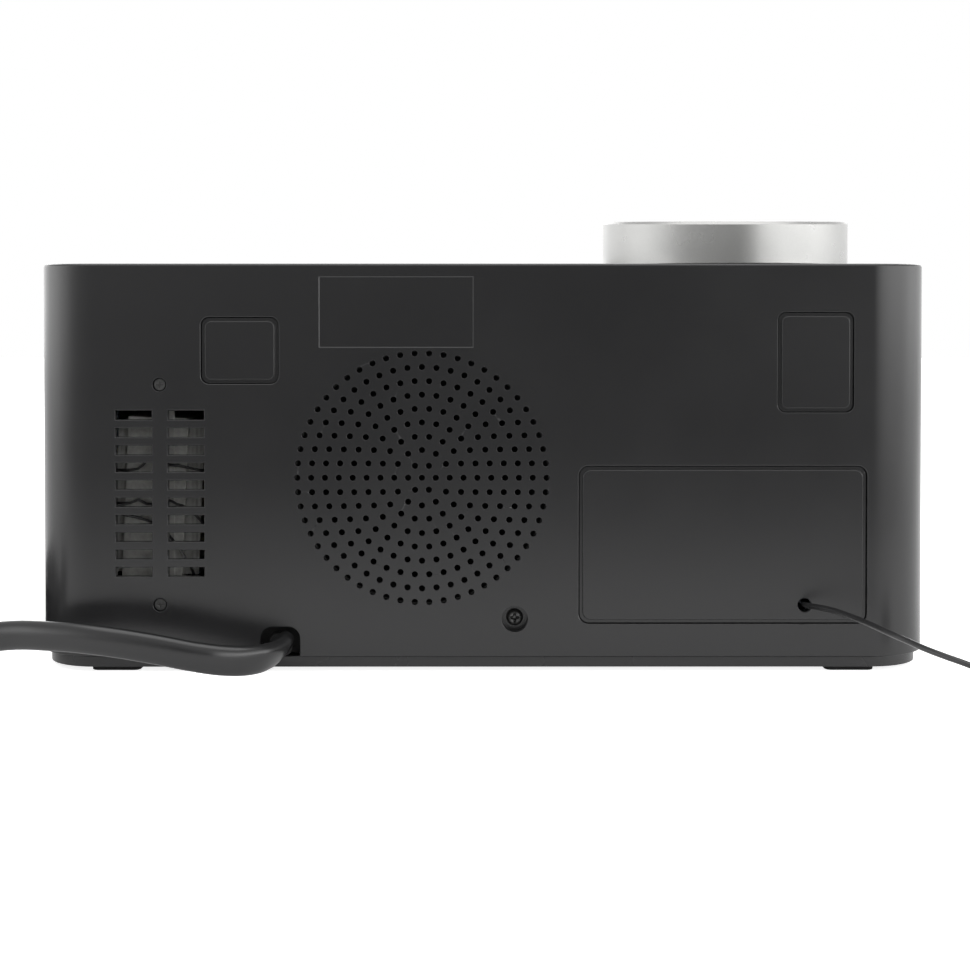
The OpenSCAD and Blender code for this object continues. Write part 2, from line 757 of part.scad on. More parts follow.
module pod_cylinder(r, half_length) {
    translate([-half_length, 0, pod_z]) rotate([0, 90, 0]) cylinder(r = r, h = 2 * half_length, $fn = 96);
}

module turret_cover() color(turret_silver) at_turret() difference() {
    sloping_disc(turret_r, turret_bottom, 0, turret_edge);
    sloping_disc(turret_r - turret_wall, turret_bottom - step, turret_wall, 0);
    channel_cut();
}

module turret_body() color(pod_black) at_turret() difference() {
    union() {
        sloping_disc(body_r, cabinet_top, turret_wall, 0);
        difference() {
            translate([0, 0, neck_bottom]) cylinder(r = neck_r, h = cabinet_top - neck_bottom, $fn = 128);
            translate([0, 0, neck_bottom - step])
                cylinder(r = neck_r - neck_wall, h = cabinet_top - neck_bottom + step - 1.6, $fn = 128);
        }
        intersection() {
            pod_cylinder(trough_r + 1.6, trunnion_reach + 0.5);
            translate([0, 0, neck_bottom]) cylinder(r = neck_r - step, h = cabinet_top - neck_bottom, $fn = 96);
        }
    }
    channel_cut();
    pod_cylinder(trough_r, trough_half);
    pod_cylinder(trunnion_r + running, trunnion_reach + 0.2);
}

module turret_retainer() color(pod_black) at_turret() difference() {
    translate([0, 0, panel_bottom - 2.4]) cylinder(r = neck_r + 3.4, h = 2.1, $fn = 96);
    translate([0, 0, panel_bottom - 2.4 - step]) cylinder(r = neck_r, h = 2.1 + 2 * step, $fn = 128);
}

module projector_pod() color(pod_black) at_turret() difference() {
    union() {
        pod_cylinder(pod_r, pod_w / 2);
        pod_cylinder(trunnion_r, trunnion_reach);
    }
    translate([0, 0, pod_z - 12]) cylinder(r = lens_bore_r, h = 12 + pod_r + step, $fn = 96);
    translate([0, 0, pod_z + ring_low - 0.1]) cylinder(r = ring_pocket_r, h = pod_r, $fn = 96);
}

module pod_lamp() color([0.9, 0.88, 0.7]) at_turret() {
    translate([0, 0, pod_z - 12]) cylinder(r = lens_bore_r - 0.1, h = 1.2, $fn = 64);
    translate([0, 0, pod_z - 10.8]) cylinder(r = 2.5, h = 3, $fn = 48);
    translate([0, 0, pod_z - 7.8]) sphere(r = 2.5, $fn = 48);
}

module time_film() color([0.3, 0.32, 0.36]) at_turret() {
    translate([0, 0, pod_z - 3]) cylinder(r = lens_bore_r, h = 1, $fn = 64);
}

module focus_ring() color(key_black) at_turret() difference() {
    translate([0, 0, pod_z + ring_low]) cylinder(r = ring_r, h = ring_high - ring_low, $fn = 96);
    translate([0, 0, pod_z + ring_low - step])
        cylinder(r = lens_bore_r, h = ring_high - ring_low + 2 * step, $fn = 96);
    for (i = [0 : 17]) rotate(i * 20) translate([ring_r + 0.2, 0, pod_z + ring_high - 1.2])
        cylinder(r = 0.8, h = 2, $fn = 24);
}

module lens_cell() color(pod_black) at_turret() translate([0, 0, pod_z])
    rotate_extrude($fn = 96) polygon([
        [5.9, 8.5], [cell_r, 8.5], [cell_r, 14], [6.2, 14], [6.2, 12.6], [5.9, 12.6]]);

module projector_lens() color([0.75, 0.85, 0.95, 0.5]) at_turret() translate([0, 0, pod_z])
    rotate_extrude($fn = 96) difference() {
        translate([0, 9]) square([5.9, 5]);
        translate([0, 12.6 - 40 + 1.2]) difference() {
            translate([0, 30]) square([8, 20]);
            circle(40, $fn = 200);
        }
    }

// ---- Keys ----

module key(at, size, r, top, stems) {
    translate([at[0], at[1], key_flange_top]) linear_extrude(top - key_flange_top - 0.4)
        rounded_rect(size, r);
    translate([at[0], at[1], top - 0.5]) linear_extrude(0.5)
        rounded_rect(size - [0.8, 0.8], r - 0.4);
    translate([at[0], at[1], key_flange_top - key_flange_t]) linear_extrude(key_flange_t)
        rounded_rect(size + 2 * [key_flange_w, key_flange_w], r + key_flange_w);
    for (x = stems) pin_z([at[0] + x, at[1]], 4, key_stem_low, key_flange_top - key_flange_t + 0.2);
}

module small_key(column, row) color(key_black)
    key([key_column_x[column], key_row_y[row]], [key_w, key_d], 2, key_top, [0]);

module snooze_bar() color(key_black)
    key(snooze_at, [snooze_w, snooze_d], 4, snooze_top, snooze_stem_x);

module alarm_1_key() small_key(0, 1);

module alarm_2_key() small_key(1, 1);

module sleep_key() small_key(2, 1);

module projector_key() small_key(3, 1);

module tune_down_key() small_key(0, 0);

module tune_up_key() small_key(1, 0);

module volume_down_key() small_key(2, 0);

module volume_up_key() small_key(3, 0);

module key_board() color(board_green) difference() {
    block([-24, 92], [-36, 33], [key_board_top - board_t, key_board_top]);
    for (at = key_post_at) pin_z(at, 2.2, key_board_top - 2 * board_t, key_board_top + step);
}

module key_switches() color(steel_grey) {
    places = concat(
        [for (x = key_column_x, y = key_row_y) [x, y]],
        [for (x = snooze_stem_x) [snooze_at[0] + x, snooze_at[1]]]);
    for (at = places) {
        translate([at[0] - switch_body / 2, at[1] - switch_body / 2, key_board_top])
            cube([switch_body, switch_body, 3.4]);
        pin_z(at, 3.4, key_board_top + 3.4, key_stem_low - 0.85);
    }
}

// ---- Backup battery ----

module battery_door() color(base_grey) difference() {
    block([bay_x - door_w / 2, bay_x + door_w / 2], [-half_d + base_inset, door_rear],
          [base_bottom, base_bottom + door_t]);
    for (i = [0 : 4]) block([bay_x - 8, bay_x + 8], [-34 + 1.6 * i, -33.2 + 1.6 * i],
                            [0, base_bottom + 0.4]);
}

module backup_cells() color([0.35, 0.38, 0.42])
    for (s = [-1, 1]) translate([bay_x - s * 22.2, bay_y + s * 5.6, 8.4]) rotate([0, s * 90, 0])
        rotate_extrude($fn = 64) polygon([
            [0, 0], [5.1, 0], [5.1, 43.4], [1.9, 43.4], [1.9, 44.4], [0, 44.4]]);

module battery_contacts() color(steel_grey) {
    for (sx = [-1, 1], sy = [-1, 1])
        block([bay_x + sx * 24.2 - 0.3, bay_x + sx * 24.2 + 0.3],
              [bay_y + sy * 5.6 - 4, bay_y + sy * 5.6 + 4], [4.4, 12.4]);
    for (sx = [-1, 1], sy = [-1, 1]) if (sx == sy)
        translate([bay_x + min(sx * 22.25, sx * 23.9), bay_y - sy * 5.6, 8.4]) rotate([0, 90, 0])
            cylinder(r = 2, h = 1.65, $fn = 32);
}

// ---- Mains cord ----

// A flange inside the rear wall with a nose that reaches into the arch
module strain_relief() color(rubber_black) {
    plate_y([arch_x, 8.7], [13, 9.4], 1.5, 32.5, 36.1);
    plate_y([arch_x, nose_z], nose_size, 1.8, 36, mains_route[0][1] - 0.1);
}

module mains_cord() color(cord_black) {
    tube(smooth_route(mains_route, 2), mains_t, mains_w, 12);
    tube(smooth_route(tail_route, 2), mains_t, mains_w, 12);
}

module mains_coil() color(cord_black) translate([mains_coil_at[0], mains_coil_at[1], 0])
    rotate_extrude($fn = 96) translate([mains_coil_r, mains_w + coil_lift])
        rounded_rect([3 * mains_t + 1, 2 * mains_w], 1.8);

module plug_body() color(cord_black) translate([plug_at[0], plug_at[1], 0]) hull() {
    translate([0, 0, plug_z]) rotate([0, 90, 0]) cylinder(d = 8, h = 6, $fn = 32);
    for (sy = [-1, 1], z = [2, 2 * plug_z - 2]) translate([10, sy * 10, z]) rotate([0, 90, 0])
        cylinder(r = 2, h = plug_l - 10, $fn = 32);
}

module plug_blades() color(steel_grey)
    for (sy = [-1, 1]) translate([plug_at[0] + plug_l, plug_at[1] + sy * blade_pitch / 2, plug_z])
        block([0, blade_l], [-blade_t / 2, blade_t / 2], [-blade_w / 2, blade_w / 2]);

module cord_tie() color(rubber_black)
    translate([mains_coil_at[0] + mains_coil_r, mains_coil_at[1], mains_w + coil_lift])
        rotate([90, 0, 0]) linear_extrude(5, center = true) difference() {
            rounded_rect([3 * mains_t + 3, 2 * (mains_w + coil_lift)], 2.4);
            rounded_rect([3 * mains_t + 1.6, 2 * mains_w], 1.8);
        }

// ---- Aerial wire ----

module aerial_wire() color(cord_black)
    tube(smooth_route(aerial_route, 2), aerial_d, aerial_d, 8);

module aerial_coil() color(cord_black) translate([aerial_coil_at[0], aerial_coil_at[1], 0])
    rotate_extrude($fn = 64) translate([aerial_coil_r, 2 * aerial_d])
        rounded_rect([4 * aerial_d, 4 * aerial_d], 1);

rear_cabinet();
front_cabinet();
top_panel();
base_plate();
rubber_feet();
left_blanking_plate();
right_blanking_plate();
aerial_panel();
cabinet_screw();
base_screws();
transformer_screws();
display_window();
digit_module();
lit_segments();
unlit_segments();
display_board();
main_board();
board_screws();
radio_can();
board_chips();
board_capacitors();
transformer_core();
transformer_coil();
transformer_bracket();
transformer_leads();
speaker_frame();
speaker_magnet();
speaker_cone();
speaker_clips();
turret_cover();
turret_body();
turret_retainer();
projector_pod();
pod_lamp();
time_film();
focus_ring();
lens_cell();
projector_lens();
snooze_bar();
alarm_1_key();
alarm_2_key();
sleep_key();
projector_key();
tune_down_key();
tune_up_key();
volume_down_key();
volume_up_key();
key_board();
key_switches();
battery_door();
backup_cells();
battery_contacts();
strain_relief();
mains_cord();
mains_coil();
plug_body();
plug_blades();
cord_tie();
aerial_wire();
aerial_coil();
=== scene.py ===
# Projection alarm clock radio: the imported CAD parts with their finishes, and the pieces that need
# more shape than the CAD gives them. Metres, in the CAD's own frame: the rear wall is at +Y.
import json
import math

import bmesh
import bpy
from mathutils import Matrix, Vector

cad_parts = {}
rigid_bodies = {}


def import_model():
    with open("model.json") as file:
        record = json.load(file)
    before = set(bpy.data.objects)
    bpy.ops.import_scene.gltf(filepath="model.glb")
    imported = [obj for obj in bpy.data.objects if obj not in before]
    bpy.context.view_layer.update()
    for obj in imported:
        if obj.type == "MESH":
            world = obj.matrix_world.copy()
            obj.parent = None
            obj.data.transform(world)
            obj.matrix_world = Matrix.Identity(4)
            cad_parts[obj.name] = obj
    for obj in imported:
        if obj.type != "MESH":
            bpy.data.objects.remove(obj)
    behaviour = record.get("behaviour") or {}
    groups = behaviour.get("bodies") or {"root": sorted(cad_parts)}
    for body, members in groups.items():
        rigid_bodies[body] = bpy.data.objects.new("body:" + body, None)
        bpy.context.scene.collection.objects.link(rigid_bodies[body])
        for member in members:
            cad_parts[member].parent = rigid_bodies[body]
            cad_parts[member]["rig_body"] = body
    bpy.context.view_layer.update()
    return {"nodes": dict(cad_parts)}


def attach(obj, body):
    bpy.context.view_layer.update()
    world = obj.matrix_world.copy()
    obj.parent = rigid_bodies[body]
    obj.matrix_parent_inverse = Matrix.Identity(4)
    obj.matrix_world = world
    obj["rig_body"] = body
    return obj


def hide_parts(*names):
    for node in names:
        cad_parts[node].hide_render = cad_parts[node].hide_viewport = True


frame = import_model()
nodes = frame["nodes"]
mm = 0.001
print("frame loaded:", len(nodes), "parts")


# The camera stands behind the clock and looks at the rear wall from a little above its middle.
viewpoint = {
    "place": (0.0, 0.4375, 0.0813),
    "tilt": 1.085,  # degrees below level
    "turn": -0.07,  # degrees
    "lens": 64.8,
    "sensor": 36,
    "rise": -0.139,  # how far the view is shifted upwards, as a share of its width
    "reach": (0.01, 20),
}


def addCamera():
    camera = bpy.data.objects.new("camera", bpy.data.cameras.new("camera"))
    bpy.context.scene.collection.objects.link(camera)
    camera.location = viewpoint["place"]
    camera.rotation_euler = (math.radians(90 - viewpoint["tilt"]), 0,
                             math.radians(180 + viewpoint["turn"]))
    camera.data.lens = viewpoint["lens"]
    camera.data.sensor_width = viewpoint["sensor"]
    camera.data.shift_y = viewpoint["rise"]
    camera.data.clip_start, camera.data.clip_end = viewpoint["reach"]
    bpy.context.scene.camera = camera


addCamera()
print("camera placed")


# Small helpers for shaders and meshes

def addNode(tree, kind, sockets=None, **settings):
    # Sockets are given by name or number, each with a value or with the output that feeds it.
    node = tree.nodes.new("ShaderNode" + kind)
    for name, value in settings.items():
        setattr(node, name, value)
    for name, value in (sockets or {}).items():
        if isinstance(value, bpy.types.NodeSocket):
            tree.links.new(value, node.inputs[name])
        else:
            node.inputs[name].default_value = value
    return node


def calculate(tree, operation, *values, clamp=False):
    return addNode(tree, "Math", dict(enumerate(values)), operation=operation,
                   use_clamp=clamp).outputs[0]


def spread(tree, value, low, high, fromLow=0.3, fromHigh=0.7):
    # Noise mostly stays between 0.3 and 0.7, which is the range that is spread by default.
    return addNode(tree, "MapRange", {"Value": value, "From Min": fromLow, "From Max": fromHigh,
                                      "To Min": low, "To Max": high}).outputs["Result"]


def rampFrom(tree, factor, stops):
    ramp = addNode(tree, "ValToRGB", {"Fac": factor})
    elements = ramp.color_ramp.elements
    elements[0].position = stops[0][0]
    elements[1].position = stops[-1][0]
    for place, _ in stops[1:-1]:
        elements.new(place)
    for element, (place, level) in zip(elements, stops):
        element.color = (level, level, level, 1)
    return ramp.outputs["Color"]


def mixColours(tree, factor, first, second):
    mix = addNode(tree, "Mix", data_type="RGBA")
    tree.links.new(factor, mix.inputs["Factor"])
    for socket, colour in ((mix.inputs[6], first), (mix.inputs[7], second)):
        if isinstance(colour, bpy.types.NodeSocket):
            tree.links.new(colour, socket)
        else:
            socket.default_value = (*colour, 1)
    return mix.outputs[2]


def addBump(tree, height, strength, distance):
    bump = addNode(tree, "Bump", {"Height": height, "Strength": strength, "Distance": distance * mm})
    return bump.outputs["Normal"]


def changed(colour, scale, lift=0.0, brightest=1.0):
    return [min(level * scale + lift, brightest) for level in colour]


def finishMesh(name, shape, body, material, smoothAngle):
    mesh = bpy.data.meshes.new(name)
    shape.normal_update()
    shape.to_mesh(mesh)
    shape.free()
    mesh.shade_smooth()
    mesh.set_sharp_from_angle(angle=math.radians(smoothAngle))
    mesh.materials.append(material)
    piece = bpy.data.objects.new(name, mesh)
    bpy.context.scene.collection.objects.link(piece)
    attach(piece, body)
    return piece


# Shader groups that several finishes share

def newGroup(name, inputs, outputs):
    group = bpy.data.node_groups.new(name, "ShaderNodeTree")
    for label, value in inputs.items():
        socket = group.interface.new_socket(label, in_out="INPUT", socket_type="NodeSocketFloat")
        socket.default_value = value
    for label in outputs:
        group.interface.new_socket(label, in_out="OUTPUT", socket_type="NodeSocketFloat")
    start = group.nodes.new("NodeGroupInput")
    end = group.nodes.new("NodeGroupOutput")
    return group, start.outputs, end.inputs


def makeGrainGroup():
    # Fine pitting of a moulded surface, and slow patches where the mould is more worn.
    group, given, result = newGroup("mouldGrain", {"Scale": 3000.0, "Patch": 40.0},
                                    ["Height", "Patches"])
    place = addNode(group, "TexCoord").outputs["Object"]
    fine = addNode(group, "TexNoise", {"Vector": place, "Scale": given["Scale"], "Detail": 2.0,
                                       "Roughness": 0.55})
    slow = addNode(group, "TexNoise", {"Vector": place, "Scale": given["Patch"], "Detail": 3.0,
                                       "Roughness": 0.5})
    group.links.new(fine.outputs["Fac"], result["Height"])
    group.links.new(slow.outputs["Fac"], result["Patches"])
    return group


def makeSpeckGroup():
    # Thinly scattered specks: a few cells of a Voronoi pattern, and only near their middles.
    group, given, result = newGroup("specks", {"Scale": 400.0, "Share": 0.05, "Size": 0.2}, ["Mask"])
    place = addNode(group, "TexCoord").outputs["Object"]
    cells = addNode(group, "TexVoronoi", {"Vector": place, "Scale": given["Scale"]})
    chance = addNode(group, "SeparateColor", {"Color": cells.outputs["Color"]})
    chosen = calculate(group, "LESS_THAN", chance.outputs["Red"], given["Share"])
    near = calculate(group, "LESS_THAN", cells.outputs["Distance"], given["Size"])
    group.links.new(calculate(group, "MULTIPLY", chosen, near), result["Mask"])
    return group


def makeEdgeGroup():
    # Where hands rub: the rounded edges, which carry the attribute edge, broken up by noise.
    group, given, result = newGroup("edgeRub", {"Amount": 0.5, "Scale": 300.0}, ["Mask"])
    place = addNode(group, "TexCoord").outputs["Object"]
    edge = addNode(group, "Attribute", attribute_name="edge")
    patchy = addNode(group, "TexNoise", {"Vector": place, "Scale": given["Scale"], "Detail": 3.0})
    rubbed = calculate(group, "MULTIPLY", edge.outputs["Fac"], patchy.outputs["Fac"])
    scaled = calculate(group, "MULTIPLY", rubbed, given["Amount"], clamp=True)
    group.links.new(scaled, result["Mask"])
    return group


def makeLayerGroup():
    # Straight layers across X, as in a stack of stamped plates or a wound coil.
    group, given, result = newGroup("layers", {"Pitch": 0.0005, "Wobble": 0.1}, ["Height", "Tone"])
    place = addNode(group, "TexCoord").outputs["Object"]
    axes = addNode(group, "SeparateXYZ", {"Vector": place})
    drift = addNode(group, "TexNoise", {"Vector": place, "Scale": 90.0})
    shifted = calculate(group, "MULTIPLY", drift.outputs["Fac"], given["Wobble"])
    turns = calculate(group, "DIVIDE", axes.outputs["X"], given["Pitch"])
    moved = calculate(group, "ADD", turns, shifted)
    whole = calculate(group, "FLOOR", moved)
    perLayer = addNode(group, "TexWhiteNoise", {"W": whole}, noise_dimensions="1D")
    group.links.new(calculate(group, "PINGPONG", moved, 1.0), result["Height"])
    group.links.new(perLayer.outputs["Value"], result["Tone"])
    return group


groups = {"grain": makeGrainGroup(), "specks": makeSpeckGroup(), "edges": makeEdgeGroup(),
          "layers": makeLayerGroup()}


def useGroup(tree, name, **values):
    node = tree.nodes.new("ShaderNodeGroup")
    node.node_tree = groups[name]
    for label, value in values.items():
        node.inputs[label].default_value = value
    return node.outputs


def newMaterial(name):
    material = bpy.data.materials.new(name)
    material.use_nodes = True
    tree = material.node_tree
    return material, tree, tree.nodes["Principled BSDF"]


def feed(tree, shader, sources):
    for name, source in sources.items():
        tree.links.new(source, shader.inputs[name])


# Moulded finishes: rough is the lowest and highest roughness, level the strength of the highlights,
# depth the grain's bump, dust the share of specks, and rub how worn the rounded edges are.
mouldedFinishes = {
    "cabinetPlastic": {"colour": (0.0115, 0.0115, 0.012), "patch": (0.0135, 0.0135, 0.014),
                       "rough": (0.22, 0.27), "grain": 3600.0, "depth": 0.04, "dust": 0.0,
                       "level": 0.5, "rub": 0.25},
    "basePlastic": {"colour": (0.013, 0.013, 0.0135), "patch": (0.016, 0.016, 0.0165),
                    "rough": (0.25, 0.31), "grain": 3000.0, "depth": 0.06, "dust": 0.0,
                    "level": 0.5, "rub": 0.3},
    "blackPlastic": {"colour": (0.012, 0.012, 0.013), "patch": (0.017, 0.017, 0.018),
                     "rough": (0.4, 0.5), "grain": 3000.0, "depth": 0.08, "dust": 0.01,
                     "level": 0.5, "rub": 0.3},
    "keyPlastic": {"colour": (0.016, 0.016, 0.017), "patch": (0.021, 0.021, 0.022),
                   "rough": (0.3, 0.38), "grain": 3600.0, "depth": 0.05, "dust": 0.01,
                   "level": 0.5, "rub": 0.6},
    "softRubber": {"colour": (0.008, 0.008, 0.008), "patch": (0.012, 0.012, 0.012),
                   "rough": (0.7, 0.8), "grain": 2400.0, "depth": 0.12, "dust": 0.03,
                   "level": 0.3, "rub": 0.4},
    "cordSheath": {"colour": (0.011, 0.011, 0.0115), "patch": (0.014, 0.014, 0.0145),
                   "rough": (0.22, 0.28), "grain": 1400.0, "depth": 0.03, "dust": 0.0,
                   "level": 0.5, "rub": 0.0},
    "capacitorSleeve": {"colour": (0.02, 0.03, 0.09), "patch": (0.025, 0.035, 0.1),
                        "rough": (0.25, 0.3), "grain": 900.0, "depth": 0.02, "dust": 0.0,
                        "level": 0.5, "rub": 0.6},
    "magnet": {"colour": (0.05, 0.05, 0.052), "patch": (0.07, 0.07, 0.073),
               "rough": (0.5, 0.62), "grain": 1800.0, "depth": 0.15, "dust": 0.02,
               "level": 0.5, "rub": 0.5},
    "conePaper": {"colour": (0.03, 0.03, 0.03), "patch": (0.045, 0.045, 0.045),
                  "rough": (0.8, 0.9), "grain": 1500.0, "depth": 0.3, "dust": 0.01,
                  "level": 0.2, "rub": 0.0},
    "cellWrap": {"colour": (0.03, 0.06, 0.03), "patch": (0.035, 0.07, 0.035),
                 "rough": (0.25, 0.32), "grain": 900.0, "depth": 0.02, "dust": 0.0,
                 "level": 0.5, "rub": 0.5},
    "digitDark": {"colour": (0.03, 0.032, 0.035), "patch": (0.035, 0.037, 0.04),
                  "rough": (0.35, 0.4), "grain": 2000.0, "depth": 0.02, "dust": 0.0,
                  "level": 0.5, "rub": 0.0},
}
mouldedWear = {"pit": 0.1, "rubScale": 1.9, "rubLift": 0.012, "dustLift": 0.08}


def mouldedMaterial(name, look):
    material, tree, shader = newMaterial(name)
    grain = useGroup(tree, "grain", Scale=look["grain"])
    colour = mixColours(tree, grain["Patches"], look["colour"], look["patch"])
    if look["rub"]:
        edges = useGroup(tree, "edges", Amount=look["rub"])
        lighter = changed(look["patch"], mouldedWear["rubScale"], mouldedWear["rubLift"])
        colour = mixColours(tree, edges["Mask"], colour, lighter)
    if look["dust"]:
        specks = useGroup(tree, "specks", Share=look["dust"])
        colour = mixColours(tree, specks["Mask"], colour,
                            changed(look["patch"], 1, mouldedWear["dustLift"]))
    feed(tree, shader, {
        "Base Color": colour, "Roughness": spread(tree, grain["Patches"], *look["rough"]),
        "Normal": addBump(tree, grain["Height"], look["depth"], mouldedWear["pit"])})
    shader.inputs["Specular IOR Level"].default_value = look["level"]
    return material


metalFinishes = {
    "silverPaint": {"colour": (0.33, 0.33, 0.323), "patch": (0.37, 0.37, 0.362), "metal": 0.6,
                    "rough": (0.26, 0.32), "flake": 5200.0, "depth": 0.1, "specks": 0.012},
    "plainSteel": {"colour": (0.5, 0.5, 0.5), "patch": (0.6, 0.6, 0.59), "metal": 1.0,
                   "rough": (0.28, 0.42), "flake": 1500.0, "depth": 0.08, "specks": 0.02},
    "dullSteel": {"colour": (0.28, 0.28, 0.265), "patch": (0.38, 0.38, 0.36), "metal": 0.4,
                  "rough": (0.45, 0.58), "flake": 900.0, "depth": 0.12, "specks": 0.03},
    "blackSteel": {"colour": (0.05, 0.05, 0.05), "patch": (0.08, 0.08, 0.078), "metal": 0.6,
                   "rough": (0.26, 0.36), "flake": 1500.0, "depth": 0.08, "specks": 0.0},
}
metalWear = {
    "pit": 0.1, "patch": 120.0, "rub": 0.5, "rubScale": 1.5, "rubLift": 0.02, "brightest": 0.8,
    "speckScale": 330.0, "speckSize": 0.16, "speckColour": (0.16, 0.16, 0.16),
}


def metalMaterial(name, look):
    material, tree, shader = newMaterial(name)
    grain = useGroup(tree, "grain", Scale=look["flake"], Patch=metalWear["patch"])
    colour = mixColours(tree, spread(tree, grain["Height"], 0, 1), look["colour"], look["patch"])
    specks = useGroup(tree, "specks", Scale=metalWear["speckScale"], Share=look["specks"],
                      Size=metalWear["speckSize"])
    colour = mixColours(tree, specks["Mask"], colour, metalWear["speckColour"])
    edges = useGroup(tree, "edges", Amount=metalWear["rub"])
    lighter = changed(look["patch"], metalWear["rubScale"], metalWear["rubLift"],
                      metalWear["brightest"])
    colour = mixColours(tree, edges["Mask"], colour, lighter)
    feed(tree, shader, {
        "Base Color": colour, "Roughness": spread(tree, grain["Patches"], *look["rough"]),
        "Normal": addBump(tree, grain["Height"], look["depth"], metalWear["pit"])})
    shader.inputs["Metallic"].default_value = look["metal"]
    return material


# Finishes in layers: the transformer's stamped plates, and the tape round its winding. The pitch and
# the step between layers are in mm.
layeredFinishes = {
    "corePlates": {"colour": (0.22, 0.22, 0.21), "patch": (0.34, 0.34, 0.325), "metal": 0.3,
                   "rough": (0.44, 0.56), "pitch": 0.5, "wobble": 0.0, "depth": 0.3},
    "coilTape": {"colour": (0.5, 0.42, 0.2), "patch": (0.62, 0.52, 0.26), "metal": 0.0,
                 "rough": (0.29, 0.41), "pitch": 4.0, "wobble": 0.3, "depth": 0.3},
}
layerWear = {"grain": 1600.0, "step": 0.15}


def layeredMaterial(name, look):
    material, tree, shader = newMaterial(name)
    layers = useGroup(tree, "layers", Pitch=look["pitch"] * mm, Wobble=look["wobble"])
    grain = useGroup(tree, "grain", Scale=layerWear["grain"])
    feed(tree, shader, {
        "Base Color": mixColours(tree, layers["Tone"], look["colour"], look["patch"]),
        "Roughness": spread(tree, grain["Height"], *look["rough"]),
        "Normal": addBump(tree, layers["Height"], look["depth"], layerWear["step"])})
    shader.inputs["Metallic"].default_value = look["metal"]
    return material


boardLook = {
    "mask": (0.012, 0.09, 0.035), "copper": (0.03, 0.16, 0.06), "traceScale": 420.0,
    "trace": [(0.36, 0.0), (0.38, 1.0), (0.5, 1.0), (0.52, 0.0)], "traceDepth": 0.2, "traceStep": 0.05,
    "pad": (0.55, 0.55, 0.5), "padScale": 600.0, "padShare": 0.22, "padSize": 0.16,
    "rough": (0.4, 0.3),
}


def boardMaterial(name, look):
    material, tree, shader = newMaterial(name)
    place = addNode(tree, "TexCoord").outputs["Object"]
    cells = addNode(tree, "TexVoronoi", {"Vector": place, "Scale": look["traceScale"]},
                    distance="CHEBYCHEV")
    traces = rampFrom(tree, cells.outputs["Distance"], look["trace"])
    colour = mixColours(tree, traces, look["mask"], look["copper"])
    pads = useGroup(tree, "specks", Scale=look["padScale"], Share=look["padShare"],
                    Size=look["padSize"])
    feed(tree, shader, {
        "Base Color": mixColours(tree, pads["Mask"], colour, look["pad"]),
        "Roughness": spread(tree, traces, *look["rough"], 0, 1),
        "Normal": addBump(tree, traces, look["traceDepth"], look["traceStep"])})
    return material


glassFinishes = {
    "smokedWindow": {"tint": (0.16, 0.17, 0.19), "rough": (0.03, 0.08), "index": 1.49},
    "lensGlass": {"tint": (0.93, 0.96, 1.0), "rough": (0.01, 0.03), "index": 1.52},
}
glassWear = {"smear": 60.0, "patch": 25.0, "fade": 0.96}


def glassMaterial(name, look):
    material, tree, shader = newMaterial(name)
    grain = useGroup(tree, "grain", Scale=glassWear["smear"], Patch=glassWear["patch"])
    faded = changed(look["tint"], glassWear["fade"])
    feed(tree, shader, {
        "Base Color": mixColours(tree, grain["Patches"], look["tint"], faded),
        "Roughness": spread(tree, grain["Height"], *look["rough"])})
    shader.inputs["IOR"].default_value = look["index"]
    shader.inputs["Transmission Weight"].default_value = 1
    return material


glowFinishes = {
    "digitGlow": {"colour": (0.45, 0.75, 1.0), "strength": 5.0},
    "lampBody": {"colour": (0.9, 0.86, 0.62), "strength": 0.4},
}
glowWear = {"grain": 700.0, "patch": 180.0, "fade": 0.85, "rough": (0.35, 0.45)}


def glowMaterial(name, look):
    material, tree, shader = newMaterial(name)
    grain = useGroup(tree, "grain", Scale=glowWear["grain"], Patch=glowWear["patch"])
    faded = changed(look["colour"], glowWear["fade"])
    colour = mixColours(tree, grain["Patches"], look["colour"], faded)
    feed(tree, shader, {
        "Base Color": colour, "Emission Color": colour,
        "Roughness": spread(tree, grain["Height"], *glowWear["rough"])})
    shader.inputs["Emission Strength"].default_value = look["strength"]
    return material


filmLook = {"colour": (0.03, 0.035, 0.045), "electrode": (0.09, 0.1, 0.13), "pitch": 0.8,
            "electrodeFrom": 0.85, "rough": (0.12, 0.2)}


def filmMaterial(name, look):
    # The projector's liquid-crystal film: dark, with a faint weave of electrodes.
    material, tree, shader = newMaterial(name)
    layers = useGroup(tree, "layers", Pitch=look["pitch"] * mm, Wobble=0.0)
    electrodes = spread(tree, layers["Height"], 0, 1, look["electrodeFrom"], 1)
    feed(tree, shader, {
        "Base Color": mixColours(tree, electrodes, look["colour"], look["electrode"]),
        "Roughness": spread(tree, layers["Tone"], *look["rough"], 0, 1)})
    return material


materials = {}
for makeMaterial, finishes in ((mouldedMaterial, mouldedFinishes), (metalMaterial, metalFinishes),
                               (layeredMaterial, layeredFinishes), (glassMaterial, glassFinishes),
                               (glowMaterial, glowFinishes), (boardMaterial, {"board": boardLook}),
                               (filmMaterial, {"film": filmLook})):
    for finish, finishLook in finishes.items():
        materials[finish] = makeMaterial(finish, finishLook)
print("materials made:", len(materials))


